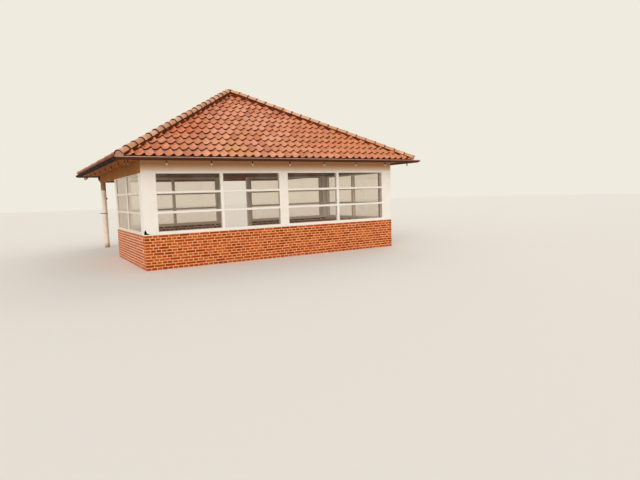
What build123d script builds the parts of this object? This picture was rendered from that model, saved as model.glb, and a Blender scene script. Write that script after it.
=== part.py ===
from build123d import *
from math import cos, hypot, radians, sin, tan
import os

os.makedirs("parts", exist_ok=True)

# A small railway station building: a square plan under one pyramid roof of clay pantiles.
# The front half is a glazed waiting room on a brick plinth, the rear half an open porch.
# Millimetres. The origin is at the middle of the square plan, on the ground.
# +X runs along the front wall to the right, +Y from the front wall towards the porch, +Z up.

# Plan and brickwork
plan_width = 7068.0
room_depth = 3588.0
wall_thickness = 228.0
plinth_height = 788.0
floor_thickness = 50.0

# Piers and door
corner_pier_width = 266.0
middle_pier_width = 130.0
back_pier_depth = 160.0
door_width = 900.0
door_post_width = 90.0
chip_width = 125.0
chip_height = 113.0
chip_depth = 14.0
chip_lift = 22.0

# Window frames and glass
frame_depth = 110.0
stile_width = 55.0
mullion_width = 65.0
transom_height = 45.0
bottom_rail_height = 72.0
glass_top = 2177.0
glass_thickness = 6.0
glass_setback = 25.0
window_rows = 3
window_columns = 2

# Beams, ceilings and columns
beam_bottom = 2225.0
soffit_level = 2470.0
board_thickness = 20.0
end_board_thickness = 20.0
column_diameter = 160.0

# Eaves
eaves_width = 469.0
fascia_thickness = 22.0
fascia_drop = 10.0
fascia_height = 79.0
gutter_radius = 72.0
gutter_sheet = 3.0
gutter_drop = 40.0

# Roof
roof_pitch = 29.6
tile_layer = 65.0
tile_overhang = 61.0
tile_gauge = 339.0
tile_step = 30.0
hip_tile_exposure = 309.0
hip_tile_setback = 28.0
hip_tile_wide_radius = 100.0
hip_tile_narrow_radius = 86.0
hip_foot_sink = 43.0
hip_top_sink = 5.0
apex_cap_radius = 112.0
apex_cap_rise = 92.0

# Lamps under the eaves and the rainwater pipe
lamp_pitch = 1015.0
lamp_inset = 103.0
lamp_corner_distance = 50.0
lamp_globe_diameter = 55.0
lamp_socket_diameter = 32.0
lamp_socket_length = 84.0
lamp_seat = 6.0
pipe_diameter = 75.0
pipe_bend_radius = 90.0
pipe_bend_level = 2360.0
pipe_fall = 115.0
pipe_clearance = 4.0
pipe_offset = 24.0

# Places worked out from the sizes above
half_plan = plan_width / 2
inner_face = half_plan - wall_thickness
room_front = -half_plan
room_back = room_front + room_depth
back_inner_face = room_back - wall_thickness
frame_side = half_plan - corner_pier_width
door_side = door_width / 2
door_post_side = door_side + door_post_width
glass_bottom = plinth_height + bottom_rail_height
ceiling_side = half_plan - wall_thickness / 2
porch_face = inner_face + column_diameter
column_side = inner_face + column_diameter / 2
fascia_side = half_plan + eaves_width
fascia_bottom = soffit_level - fascia_drop
fascia_top = fascia_bottom + fascia_height
gutter_middle = fascia_side + gutter_radius
gutter_rim = fascia_top - gutter_drop
tile_side = fascia_side + tile_overhang
slope = tan(radians(roof_pitch))
tile_rise = tile_layer / cos(radians(roof_pitch))
course_depth = tile_gauge * cos(radians(roof_pitch))
apex_level = fascia_top + tile_rise + fascia_side * slope
apex_underside = apex_level - tile_rise


def block(low, high):
    """A rectangular piece between two opposite corners."""
    size = [b - a for a, b in zip(low, high)]
    return Pos(*low) * Box(*size, align=(Align.MIN, Align.MIN, Align.MIN))


def around(shape, quarter):
    """The shape of the front side, turned to another side of the square plan."""
    return Rot(0, 0, 90 * quarter) * shape


def mirrored(shape):
    """The same piece on the other side of the middle line."""
    return mirror(shape, about=Plane.YZ)


def floor_slab():
    """Concrete floor inside the room, with the threshold in the doorway."""
    room = block((-inner_face, room_front + wall_thickness, 0), (inner_face, back_inner_face, floor_thickness))
    threshold = block((-door_side, back_inner_face, 0), (door_side, room_back, floor_thickness))
    return room + threshold


def front_plinth():
    """Brick plinth under the front windows, one brick thick."""
    return block((-half_plan, room_front, 0), (half_plan, room_front + wall_thickness, plinth_height))


def left_plinth():
    """Brick plinth of a side wall, from the front wall to the room's rear face."""
    return block((-half_plan, room_front + wall_thickness, 0), (-inner_face, room_back, plinth_height))


def back_left_plinth():
    """Brick plinth of the rear wall, between the side wall and the door post."""
    return block((-inner_face, back_inner_face, 0), (-door_post_side, room_back, plinth_height))


def front_left_pier():
    """Square corner pier on the plinth, under the front header and the side beam."""
    return block(
        (-half_plan, room_front, plinth_height),
        (-frame_side, room_front + corner_pier_width, beam_bottom),
    )


def chip():
    """The broken corner at the foot of the front left pier."""
    foot = plinth_height + chip_lift
    shares = [(0, 0), (1, 0), (0.45, 0.32), (0.35, 0.65), (0.22, 1), (0, 0.55)]
    outline = Polyline(*[(-half_plan + u * chip_width, foot + v * chip_height) for u, v in shares], close=True)
    face = make_face(Plane((0, room_front, 0), x_dir=(1, 0, 0), z_dir=(0, -1, 0)) * outline)
    return extrude(face, chip_depth, dir=(0, 1, 0))


def front_middle_pier():
    """Narrow pier between the two front windows."""
    half = middle_pier_width / 2
    return block((-half, room_front, plinth_height), (half, room_front + wall_thickness, beam_bottom))


def back_left_pier():
    """Flat pier at the room's rear corner."""
    return block((-half_plan, room_back - back_pier_depth, plinth_height), (-frame_side, room_back, beam_bottom))


def door_posts():
    """Two posts that stand on the ground at the sides of the doorway."""
    post = block((-door_post_side, room_back - back_pier_depth, 0), (-door_side, room_back, beam_bottom))
    return Compound(children=[post, mirrored(post)])


def pane_spans(low, high, count, bar):
    """The clear spans between bars that share a length evenly."""
    clear = (high - low - bar * (count - 1)) / count
    return [(low + n * (clear + bar), low + n * (clear + bar) + clear) for n in range(count)]


def panes(start, end):
    """The clear openings of a window, as spans along the wall and upwards."""
    across = pane_spans(start + stile_width, end - stile_width, window_columns, mullion_width)
    upward = pane_spans(glass_bottom, glass_top, window_rows, transom_height)
    return [(u, v) for u in across for v in upward]


def window_frame(start, end):
    """A frame along X whose outer face is at Y = 0, with its panes cut through."""
    frame = block((start, 0, plinth_height), (end, frame_depth, beam_bottom))
    for (x0, x1), (z0, z1) in panes(start, end):
        frame -= block((x0, 0, z0), (x1, frame_depth, z1))
    return frame


def window_glass(start, end):
    """The panes of such a frame."""
    back = glass_setback + glass_thickness
    return [block((x0, glass_setback, z0), (x1, back, z1)) for (x0, x1), (z0, z1) in panes(start, end)]


front_wall = Pos(0, room_front, 0)
left_wall = Pos(-half_plan, 0, 0) * Rot(0, 0, -90)
back_wall = Pos(0, room_back, 0) * Rot(0, 0, 180)
front_window = (-frame_side, -middle_pier_width / 2)
left_window = (back_pier_depth - room_back, half_plan - corner_pier_width)
back_window = (door_post_side, frame_side)


def front_header():
    """White beam casing over the front windows, with a face board that covers the side beams' end boards."""
    side = half_plan - end_board_thickness
    core = block((-side, room_front, beam_bottom), (side, room_front + wall_thickness, soffit_level))
    face_back = room_front + end_board_thickness
    return core + block((-half_plan, room_front, beam_bottom), (half_plan, face_back, soffit_level))


def left_beam():
    """Side beam over the side window, with a board over the front header's end and a run to the column."""
    end_board = block(
        (-half_plan, room_front + end_board_thickness, beam_bottom),
        (-half_plan + end_board_thickness, room_front + wall_thickness, soffit_level),
    )
    over_room = block((-half_plan, room_front + wall_thickness, beam_bottom), (-inner_face, room_back, soffit_level))
    over_porch = block((-porch_face, room_back, beam_bottom), (-inner_face, porch_face, soffit_level))
    return end_board + over_room + over_porch


def back_header():
    """Header over the rear windows and the doorway."""
    return block((-inner_face, room_back - back_pier_depth, beam_bottom), (inner_face, room_back, soffit_level))


def rear_beam():
    """Beam across the open rear side of the porch."""
    return block((-inner_face, inner_face, beam_bottom), (inner_face, porch_face, soffit_level))


def left_column():
    """Round column under the rear corner of the beams, as wide as they are."""
    column = Cylinder(column_diameter / 2, beam_bottom, align=(Align.CENTER, Align.CENTER, Align.MIN))
    return Pos(-column_side, column_side, 0) * column


def ceiling(low_y, high_y):
    """Flat ceiling board laid on the beams."""
    return block((-ceiling_side, low_y, soffit_level), (ceiling_side, high_y, soffit_level + board_thickness))


def square_ring(outer, inner, low, high):
    """A square ring around the plan."""
    return block((-outer, -outer, low), (outer, outer, high)) - block((-inner, -inner, low), (inner, inner, high))


def eaves_soffit():
    """Boards under the eaves, from the beams to the fascia."""
    return square_ring(fascia_side - fascia_thickness, ceiling_side, soffit_level, soffit_level + board_thickness)


def side_profile(points):
    """A section of the front side, given as distance from the middle and height."""
    outline = Polyline(*[(distance, height) for distance, height in points], close=True)
    return make_face(Plane((0, 0, 0), x_dir=(0, -1, 0), z_dir=(-1, 0, 0)) * outline)


def front_wedge(reach):
    """The quarter of the plan that belongs to the front side, between the two hips."""
    corner = [(0, 0), (-reach, -reach), (reach, -reach)]
    return extrude(make_face(Polyline(*corner, close=True)), 2 * apex_level)


def front_length(face, reach):
    """A section run along the front side and mitred at its corners."""
    run = extrude(face, reach, dir=(1, 0, 0)) + extrude(face, reach, dir=(-1, 0, 0))
    return run & front_wedge(reach)


def fascia():
    """Front fascia board, with its top bevelled to the roof's underside."""
    inner = fascia_side - fascia_thickness
    profile = [
        (inner, fascia_bottom),
        (fascia_side, fascia_bottom),
        (fascia_side, fascia_top),
        (inner, fascia_top + fascia_thickness * slope),
    ]
    return front_length(side_profile(profile), 2 * fascia_side)


def fascia_boards():
    """The four fascia boards, joined at the mitres."""
    board = fascia()
    return board + around(board, 1) + around(board, 2) + around(board, 3)


def gutter():
    """Half-round gutter of the front side, open on top and mitred at its corners."""
    centre = (gutter_middle, gutter_rim)
    outer = Circle(gutter_radius) - Circle(gutter_radius - gutter_sheet)
    lower = Pos(0, -gutter_radius) * Rectangle(2 * gutter_radius, 2 * gutter_radius)
    section = Pos(*centre) * (outer & lower)
    face = Plane((0, 0, 0), x_dir=(0, -1, 0), z_dir=(-1, 0, 0)) * section
    return front_length(face, 2 * gutter_middle)


def tile_edge(course):
    """The foot of the step and the lower edge of a tile course, counted up from the eaves."""
    distance = tile_side - course * course_depth
    height = apex_level - distance * slope
    foot = (distance - tile_step * sin(radians(roof_pitch)), height - tile_step * cos(radians(roof_pitch)))
    return [foot, (distance, height)]


def roof_slope():
    """Tiles and battens of the front slope as one layer in lapped courses, mitred at the hips."""
    courses = int((tile_side - 1.5 * apex_cap_radius) / course_depth)
    steps = [point for n in range(courses) for point in tile_edge(n + 1)]
    profile = [
        (fascia_side, fascia_top),
        (tile_side, fascia_top),
        (tile_side, apex_level - tile_side * slope),
        *steps,
        (0, apex_level),
        (0, apex_underside),
    ]
    return front_length(side_profile(profile), 2 * tile_side)


def roof_body():
    """Everything below the tiles' upper planes, for seating the hip and apex tiles."""
    reach = 2 * tile_side
    faces = [(0, apex_level), (reach, apex_level - reach * slope), (0, apex_level - reach * slope)]
    side = front_length(side_profile(faces), 2 * reach)
    return side + around(side, 1) + around(side, 2) + around(side, 3)


def apex_column():
    """The upright cylinder that the apex tile takes up."""
    return Pos(0, 0, apex_level) * Cylinder(apex_cap_radius, 4 * apex_cap_radius)


def hip_tiles():
    """Stepped half-round tiles over the front left hip, seated on both slopes and sunk deeper at the foot."""
    run = hypot(tile_side, tile_side)
    rise = tile_side * slope + hip_foot_sink - hip_top_sink
    length = hypot(run, rise) - hip_tile_setback
    count = round(length / hip_tile_exposure)
    exposure = length / count
    foot = (-tile_side, -tile_side, apex_level - tile_side * slope - hip_foot_sink)
    line = Plane(foot, z_dir=(tile_side, tile_side, rise))
    tiles = None
    for n in range(count):
        tile = Cone(hip_tile_wide_radius, hip_tile_narrow_radius, exposure,
                    align=(Align.CENTER, Align.CENTER, Align.MIN))
        placed = line * Pos(0, 0, hip_tile_setback + n * exposure) * tile
        tiles = placed if tiles is None else tiles + placed
    return tiles - roof_body() - apex_column()


def apex_cap():
    """Rounded tile that closes the four hips."""
    top = apex_level + apex_cap_rise
    dome_radius = 1.25 * apex_cap_radius
    dome = Pos(0, 0, top - dome_radius) * Sphere(dome_radius)
    return (dome & apex_column()) - roof_body()


def lamp():
    """A small globe lamp on a socket, with its top at the origin."""
    socket = Pos(0, 0, -lamp_socket_length / 2) * Cylinder(lamp_socket_diameter / 2, lamp_socket_length)
    globe_middle = -lamp_socket_length - lamp_globe_diameter / 2 + lamp_seat
    return socket + Pos(0, 0, globe_middle) * Sphere(lamp_globe_diameter / 2)


def eave_lamps(quarter):
    """The lamps under one side's eaves: an even row, and one more near each corner."""
    line = fascia_side - lamp_inset
    end = line - lamp_corner_distance
    steps = int((end - lamp_pitch / 2) / lamp_pitch)
    row = [n * lamp_pitch for n in range(-steps, steps + 1)]
    return [around(Pos(place, -line, soffit_level) * lamp(), quarter) for place in [-end, *row, end]]


def rain_pipe():
    """Outlet under the rear gutter, drawn in under the eaves and down behind the rear left column."""
    behind = porch_face + pipe_clearance + pipe_diameter / 2
    drop_x = -column_side - pipe_offset
    route = [
        (drop_x, gutter_middle, gutter_rim - gutter_radius),
        (drop_x, gutter_middle, pipe_bend_level),
        (drop_x, behind, pipe_bend_level - pipe_fall),
        (drop_x, behind, 0),
    ]
    path = FilletPolyline(*route, radius=[2 * pipe_bend_radius / 3, pipe_bend_radius])
    section = Plane(route[0], z_dir=(0, 0, -1)) * Circle(pipe_diameter / 2)
    return sweep(section, path=path)


def write(name, shape):
    """Write one node."""
    export_step(shape, "parts/" + name + ".step")


def group(shapes):
    """Separate like pieces that share a node."""
    return Compound(children=list(shapes))


side_window_frame = left_wall * window_frame(*left_window)
front_window_frame = front_wall * window_frame(*front_window)
back_window_frame = back_wall * window_frame(*back_window)
front_panes = [front_wall * pane for pane in window_glass(*front_window)]
side_panes = [left_wall * pane for pane in window_glass(*left_window)]
back_panes = [back_wall * pane for pane in window_glass(*back_window)]
back_header_middle = room_back - back_pier_depth / 2

write("floor_slab", floor_slab())
write("front_plinth", front_plinth())
write("left_plinth", left_plinth())
write("right_plinth", mirrored(left_plinth()))
write("back_left_plinth", back_left_plinth())
write("back_right_plinth", mirrored(back_left_plinth()))

write("front_left_pier", front_left_pier() - chip())
write("front_middle_pier", front_middle_pier())
write("front_right_pier", mirrored(front_left_pier()))
write("back_left_pier", back_left_pier())
write("back_right_pier", mirrored(back_left_pier()))
write("door_posts", door_posts())

write("front_left_window_frame", front_window_frame)
write("front_right_window_frame", mirrored(front_window_frame))
write("left_window_frame", side_window_frame)
write("right_window_frame", mirrored(side_window_frame))
write("back_left_window_frame", back_window_frame)
write("back_right_window_frame", mirrored(back_window_frame))
write("front_glass", group(front_panes + [mirrored(pane) for pane in front_panes]))
write("left_glass", group(side_panes))
write("right_glass", group(mirrored(pane) for pane in side_panes))
write("back_glass", group(back_panes + [mirrored(pane) for pane in back_panes]))

write("front_header", front_header())
write("left_beam", left_beam())
write("right_beam", mirrored(left_beam()))
write("rear_beam", rear_beam())
write("back_header", back_header())
write("left_column", left_column())
write("right_column", mirrored(left_column()))

write("room_ceiling", ceiling(-ceiling_side, back_header_middle))
write("porch_ceiling", ceiling(back_header_middle, ceiling_side))
write("eaves_soffit", eaves_soffit())
write("fascia_boards", fascia_boards())

front_gutter = gutter()
front_slope = roof_slope()
hip = hip_tiles()
for quarter, side in enumerate(["front", "right", "rear", "left"]):
    write(side + "_gutter", around(front_gutter, quarter))
    write(side + "_roof_slope", around(front_slope, quarter))
write("hip_tiles", group(around(hip, quarter) for quarter in range(4)))
write("apex_cap", apex_cap())
write("eave_lamps", group(one for quarter in range(4) for one in eave_lamps(quarter)))
write("rain_pipe", rain_pipe())
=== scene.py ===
import math
import random

import bmesh
import bpy
from mathutils import Matrix, Vector


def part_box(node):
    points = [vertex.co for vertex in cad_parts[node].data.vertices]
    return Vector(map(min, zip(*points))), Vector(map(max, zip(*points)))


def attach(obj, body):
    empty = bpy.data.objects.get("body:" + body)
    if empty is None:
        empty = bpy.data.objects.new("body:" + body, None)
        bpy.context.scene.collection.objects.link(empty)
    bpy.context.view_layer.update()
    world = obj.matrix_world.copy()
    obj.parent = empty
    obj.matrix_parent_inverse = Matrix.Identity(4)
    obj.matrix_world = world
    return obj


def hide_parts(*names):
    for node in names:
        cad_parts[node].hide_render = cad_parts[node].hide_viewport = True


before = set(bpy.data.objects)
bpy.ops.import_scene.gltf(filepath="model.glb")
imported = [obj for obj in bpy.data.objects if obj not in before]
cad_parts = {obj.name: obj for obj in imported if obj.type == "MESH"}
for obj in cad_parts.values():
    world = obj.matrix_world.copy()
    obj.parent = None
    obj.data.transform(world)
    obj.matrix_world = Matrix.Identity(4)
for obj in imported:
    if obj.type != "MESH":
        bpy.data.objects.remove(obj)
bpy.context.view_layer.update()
scene = bpy.context.scene

# Places read from the frame, in metres
plinthLow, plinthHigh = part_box("front_plinth")
gutterLow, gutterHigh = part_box("front_gutter")
columnLow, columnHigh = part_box("left_column")
pipeLow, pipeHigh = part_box("rain_pipe")
halfPlan, wallDepth, plinthTop = plinthHigh.x, plinthHigh.y - plinthLow.y, plinthHigh.z
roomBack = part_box("left_plinth")[1].y
doorSide = -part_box("back_left_plinth")[1].x
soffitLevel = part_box("front_header")[1].z
tileSide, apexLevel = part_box("front_roof_slope")[1].xz
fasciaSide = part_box("fascia_boards")[1].x
gutterReach, gutterRim = gutterHigh.xz
gutterRadius = gutterHigh.z - gutterLow.z
gutterMiddle = gutterReach - gutterRadius
roofPitch = math.radians(29.6)
eaveLevel = apexLevel - tileSide * math.tan(roofPitch)
slopeLength = tileSide / math.cos(roofPitch)
quarterTurns = [Matrix.Rotation(math.pi / 2 * n, 4, "Z") for n in range(4)]
planCorners = [(-1, -1), (1, -1), (1, 1), (-1, 1)]
sides = ["front", "right", "rear", "left"]


def srgb(red, green, blue):
    return [((c / 255 + 0.055) / 1.055) ** 2.4 if c > 10 else c / 3294 for c in (red, green, blue)] + [1.0]


def several(values, names):
    return [values[name] for name in names.split()]


# Node helpers, shared by the materials and the geometry trees
def pick(sockets, key):
    if isinstance(key, int):
        return sockets[key]
    return next(s for s in sockets if s.name == key and s.enabled)


def put(tree, kind, inputs=None, **settings):
    node = tree.nodes.new(kind)
    for key, value in settings.items():
        setattr(node, key, value)
    for key, value in (inputs or {}).items():
        socket = pick(node.inputs, key)
        if isinstance(value, bpy.types.NodeSocket):
            tree.links.new(value, socket)
        else:
            socket.default_value = value
    return node


def take(tree, kind, inputs=None, key=0, **settings):
    return pick(put(tree, kind, inputs, **settings).outputs, key)


def sums(tree, operation, first, second=0.0, clamp=False):
    return take(tree, "ShaderNodeMath", {0: first, 1: second}, operation=operation, use_clamp=clamp)


def times(tree, first, second):
    return sums(tree, "MULTIPLY", first, second)


def plus(tree, first, second, clamp=False):
    return sums(tree, "ADD", first, second, clamp)


def reach(tree, value, low, high):
    return take(tree, "ShaderNodeMapRange", {"Value": value, "From Min": low, "From Max": high}, "Result")


def blend(tree, factor, first, second):
    inputs = {"Factor": factor, "A": first, "B": second}
    return take(tree, "ShaderNodeMix", inputs, "Result", data_type="RGBA")


# Parts of a finish: each gives a function that adds its nodes at a place and returns their socket
def waves(scale, detail=4.0, roughness=0.6, stretch=None):
    def build(tree, place):
        if stretch:
            place = take(tree, "ShaderNodeMapping", {"Vector": place, "Scale": stretch})
        return take(tree, "ShaderNodeTexNoise", {
            "Vector": place, "Scale": scale, "Detail": detail, "Roughness": roughness}, "Fac")
    return build


def fading(low, high, pattern):  # nothing at low, full at high
    return lambda tree, place: reach(tree, pattern(tree, place), low, high)


def axis(name):
    return lambda tree, place: take(tree, "ShaderNodeSeparateXYZ", {"Vector": place}, name)


def mixed(first, second, share):
    return lambda tree, place: plus(tree, first(tree, place), times(tree, second(tree, place), share))


def painted(name):
    return lambda tree, place: take(tree, "ShaderNodeAttribute", None, "Fac", attribute_name=name)


def ramped(pattern, stops):
    def build(tree, place):
        node = put(tree, "ShaderNodeValToRGB", {"Fac": pattern(tree, place)})
        elements = node.color_ramp.elements
        while len(elements) < len(stops):
            elements.new(0.5)
        for element, (position, colour) in zip(elements, stops):
            element.position = position
            element.color = colour
        return node.outputs["Color"]
    return build


def around(middle, width, core=0.3):
    def build(tree, place):
        away = take(tree, "ShaderNodeVectorMath", {0: place, 1: middle}, "Value", operation="DISTANCE")
        return reach(tree, away, width, width * core)
    return build


def leftSide(slack=0.0, soft=0.02):  # the quarter of the plan that faces left
    def build(tree, place):
        x, y = axis("X")(tree, place), axis("Y")(tree, place)
        ahead = reach(tree, sums(tree, "SUBTRACT", x, y), soft - slack, -soft - slack)
        return times(tree, ahead, reach(tree, plus(tree, x, y), soft + slack, slack - soft))
    return build


def nearHips(width, core=0.1):
    def build(tree, place):
        across, deep = (sums(tree, "ABSOLUTE", axis(name)(tree, place)) for name in "XY")
        return reach(tree, sums(tree, "ABSOLUTE", sums(tree, "SUBTRACT", across, deep)), width, core)
    return build


# Faces inside the room take an inside colour of their own; on brick, casing and timber it is darker, in part
# painted shade of the room
def insideRoom(tree, place, margin=0.012, soft=0.004):
    inner = halfPlan - wallDepth + margin
    inside = 1.0
    for name, low, high in (("X", -inner, inner), ("Y", -inner, roomBack - wallDepth + margin)):
        value = axis(name)(tree, place)
        inside = times(tree, reach(tree, value, low - soft, low + soft), inside)
        inside = times(tree, reach(tree, value, high + soft, high - soft), inside)
    return inside


def boardJoints(width, ring, start=0.07, full=0.03):  # start and full are shares of a board's width
    def build(tree, place):
        across = sums(tree, "ABSOLUTE", axis("Y")(tree, place))
        if ring:
            across = sums(tree, "MAXIMUM", across, sums(tree, "ABSOLUTE", axis("X")(tree, place)))
        return reach(tree, sums(tree, "FRACT", sums(tree, "DIVIDE", across, width)), start, full)
    return build


def startMaterial(name, roughness, specular):
    material = bpy.data.materials.new(name)
    material.use_nodes = True
    tree = material.node_tree
    shader = tree.nodes["Principled BSDF"]
    shader.inputs["Roughness"].default_value = roughness
    shader.inputs["Specular IOR Level"].default_value = specular
    return material, tree, shader, take(tree, "ShaderNodeTexCoord", None, "Object")


def built(tree, place, part):
    return part(tree, place) if callable(part) else part


def finish(name, look, base, coats, relief=None):  # each coat is a colour and the masks that place it
    material, tree, shader, place = startMaterial(name, look["roughness"], look["specular"])
    colour = built(tree, place, base)
    for coat, factor, *masks in coats:
        factor = built(tree, place, factor)
        for mask in masks:
            factor = times(tree, factor, built(tree, place, mask))
        colour = blend(tree, factor, colour, built(tree, place, coat))
    tree.links.new(colour, shader.inputs["Base Color"])
    if relief:
        pattern, strength, depth = relief
        bump = take(tree, "ShaderNodeBump", {
            "Height": pattern(tree, place), "Strength": strength, "Distance": depth})
        tree.links.new(bump, shader.inputs["Normal"])
    return material


# Finishes
def clayFinish(name, look):
    grit = waves(46.0, 6.0, 0.75)
    speckle = fading(0.42, 0.52, waves(13.0, 5.0, 0.7))
    spots = [(colour, around(middle, width), speckle) for middle, width, colour in look["spots"]]
    return finish(name, look, ramped(painted("tone"), look["tones"]), [
        (look["patch"], fading(0.56, 0.85, waves(0.55, 3.0))),
        (look["moss"], fading(0.45, 0.56, waves(5.5, 5.0, 0.75)), nearHips(look["mossReach"])), *spots,
        (look["soot"], fading(0.52, 0.76, waves(2.3, 5.0, 0.7)), look["sootShare"]),
        (look["fleck"], fading(0.4, 0.8, grit), look["fleckShare"]),
        (look["shaded"], leftSide(0.25), look["shadedShare"]),
        # edge is the colour of the painted shade, laid where the shade attribute is high
        (look["edge"], painted("shade"))], (grit, 0.3, 0.003))


def brickFinish(look):
    grit = waves(120.0, 4.0, 0.7)
    return finish("facingBrick", look, ramped(painted("tone"), look["tones"]), [
        (look["scorch"], fading(0.42, 0.75, waves(17.0, 5.0, 0.7))),
        (look["grit"], fading(0.5, 0.8, grit), look["gritShare"]),
        (look["pale"], leftSide(), look["paleShare"]), (look["inside"], insideRoom)], (grit, 0.5, 0.002))


def mortarFinish(name, light, dark):
    return finish(name, {"roughness": 0.95, "specular": 0.15}, light, [
        (dark, fading(0.35, 0.7, waves(9.0, 6.0, 0.75)))], (waves(180.0, 3.0), 0.5, 0.002))


def paintFinish(name, look):
    streaks = waves(1.0, 4.0, 0.7, (14.0, 14.0, 1.6))
    height = mixed(axis("Z"), streaks, 0.02)
    start, end = look["stains"][0][0], look["stains"][-1][0]
    stains = [((level - start) / (end - start), colour) for level, colour in look["stains"]]
    return finish(name, look, look["paint"], [
        (look["worn"], fading(0.4, 0.75, waves(3.1, 5.0, 0.65))),
        (look["streak"], fading(0.55, 0.85, streaks), look["dirt"]),
        (look["streak"], fading(look["footTop"], look["footBottom"], axis("Z")), look["footDirt"]),
        # painted shade under the eaves, browner with height
        (ramped(fading(start, end, height), stains), fading(start - 0.01, start, height)),
        # painted shade on the left side of the plan, in the streak colour
        (look["streak"], leftSide(), look["sideDirt"]),
        (look["inside"], insideRoom)], (waves(60.0, 3.0), 0.12, 0.001))


def timberFinish(name, look):
    grain = relief = waves(1.0, 6.0, 0.7, look["grainScale"])
    coats = [(look["dark"], fading(0.3, 0.72, grain)), (look["faded"], fading(0.5, 0.75, waves(1.7)), 0.5)]
    if "boardWidth" in look:
        joints = boardJoints(look["boardWidth"], look["ring"])
        coats.append((look["joint"], joints, 0.8))
        relief = mixed(grain, joints, -3.0)
    return finish(name, look, look["light"], coats + [(look["inside"], insideRoom)], (relief, 0.25, 0.003))


def gutterFinish(look):
    cloud = waves(7.0, 5.0, 0.7)
    return finish("gutterZinc", look, look["bright"], [
        (look["dull"], fading(0.4, 0.7, cloud)),
        # painted shade: the gutter body below the lip is darker, while the lip above keeps the lighter
        # colour as a painted highlight
        (look["under"], fading(gutterRim - look["lip"], gutterRim - look["lip"] * 1.5, axis("Z"))),
        (look["shaded"], leftSide())], (cloud, 0.1, 0.002))


def columnFinish(look):
    cloud = waves(4.0, 5.0, 0.65)
    upper, lower = (mixed(axis("Z"), cloud, wobble) for wobble in (look["wobble"], -look["wobble"]))
    return finish("columnPaint", look, look["paint"], [
        (look["worn"], fading(0.4, 0.75, cloud)),
        (look["rust"], fading(0.56, 0.68, waves(30.0, 5.0, 0.8)), look["rustShare"]),
        (look["cap"], fading(look["capStart"], look["capStart"] + 0.02, upper)),
        (look["rust"], fading(look["footTop"], 0.0, lower), look["rustShare"])])


def plainFinish(name, colour, darker, roughness, scale=12.0, specular=0.4, dirty=None):
    cloud = waves(scale, 5.0, 0.65)
    # the third colour is painted shade, laid on the left side of the plan
    coats = [(darker, fading(0.4, 0.75, cloud))] + ([(dirty, leftSide(-0.3))] if dirty else [])
    return finish(name, {"roughness": roughness, "specular": specular}, colour, coats, (cloud, 0.15, 0.002))


def glassFinish(look):
    material, tree, shader, place = startMaterial("windowGlass", look["roughness"], look["specular"])
    facing = take(tree, "ShaderNodeLayerWeight", {"Blend": 0.5}, "Facing")
    shine = plus(tree, sums(tree, "POWER", facing, look["falloff"]), look["faceOn"])
    dust = times(tree, fading(0.35, 0.8, waves(2.2))(tree, place), look["dust"])
    clear = take(tree, "ShaderNodeBsdfTransparent", {"Color": look["through"]})
    gloss = take(tree, "ShaderNodeBsdfGlossy", {"Color": look["reflected"], "Roughness": look["roughness"]})
    share = plus(tree, shine, dust, clamp=True)
    pane = take(tree, "ShaderNodeMixShader", {0: share, 1: clear, 2: gloss})
    tree.links.new(pane, tree.nodes["Material Output"].inputs["Surface"])
    tree.nodes.remove(shader)
    return material


clayLook = {
    "roughness": 0.6, "specular": 0.2,
    "mossReach": 1.3, "sootShare": 0.6, "fleckShare": 0.7, "shadedShare": 0.6,
    "tones": [(0.0, srgb(190, 106, 72)), (0.2, srgb(214, 130, 92)), (0.5, srgb(226, 146, 108)),
              (0.8, srgb(236, 162, 128)), (1.0, srgb(228, 148, 100))],
    "patch": srgb(218, 152, 92), "moss": srgb(196, 90, 24), "soot": srgb(146, 74, 40),
    # edge: the colour of the painted shade under each course and on the tile ends
    "fleck": srgb(242, 186, 154), "edge": srgb(104, 30, 2), "shaded": srgb(140, 92, 78),
    "spots": [
        ((2.4, -2.9, 3.1), 2.6, srgb(216, 126, 68)), ((-2.4, -2.55, 3.44), 0.75, srgb(218, 88, 8)),
        ((-1.8, -1.95, 3.78), 0.6, srgb(212, 106, 24)), ((-1.25, -3.75, 2.76), 0.6, srgb(216, 152, 84))],
}
hipLook = dict(
    clayLook, spots=[], patch=srgb(224, 174, 134), moss=srgb(208, 148, 98), soot=srgb(180, 124, 90),
    # edge: the colour of the painted shade on the hip rims
    fleck=srgb(230, 170, 134), edge=srgb(60, 20, 4),
    tones=[(0.0, srgb(204, 146, 116)), (0.5, srgb(226, 172, 142)), (1.0, srgb(238, 194, 166))])
brickLook = {
    "roughness": 0.85, "specular": 0.1, "gritShare": 0.45, "paleShare": 0.35,
    "tones": [(0.0, srgb(138, 44, 8)), (0.25, srgb(166, 62, 16)), (0.6, srgb(186, 80, 26)),
              (1.0, srgb(206, 106, 50))],
    "scorch": srgb(146, 52, 12), "grit": srgb(224, 134, 84), "inside": srgb(110, 74, 56),
    "pale": srgb(222, 150, 112),
}
casingLook = {
    "roughness": 0.5, "specular": 0.35, "dirt": 0.15, "footDirt": 0.15, "sideDirt": 0.0,
    "footTop": plinthTop + 0.05, "footBottom": plinthTop - 0.02, "paint": srgb(247, 243, 235),
    "worn": srgb(243, 236, 225), "streak": srgb(206, 178, 146), "inside": srgb(150, 112, 82),
    # painted shade under the eaves: the paint turns brown upwards towards the soffit
    "stains": [(soffitLevel - below, colour) for below, colour in (
        (0.23, srgb(238, 226, 202)), (0.205, srgb(232, 208, 178)), (0.16, srgb(222, 188, 154)),
        (0.115, srgb(206, 164, 126)), (0.07, srgb(190, 144, 100)), (0.03, srgb(206, 160, 114)))],
}
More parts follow.
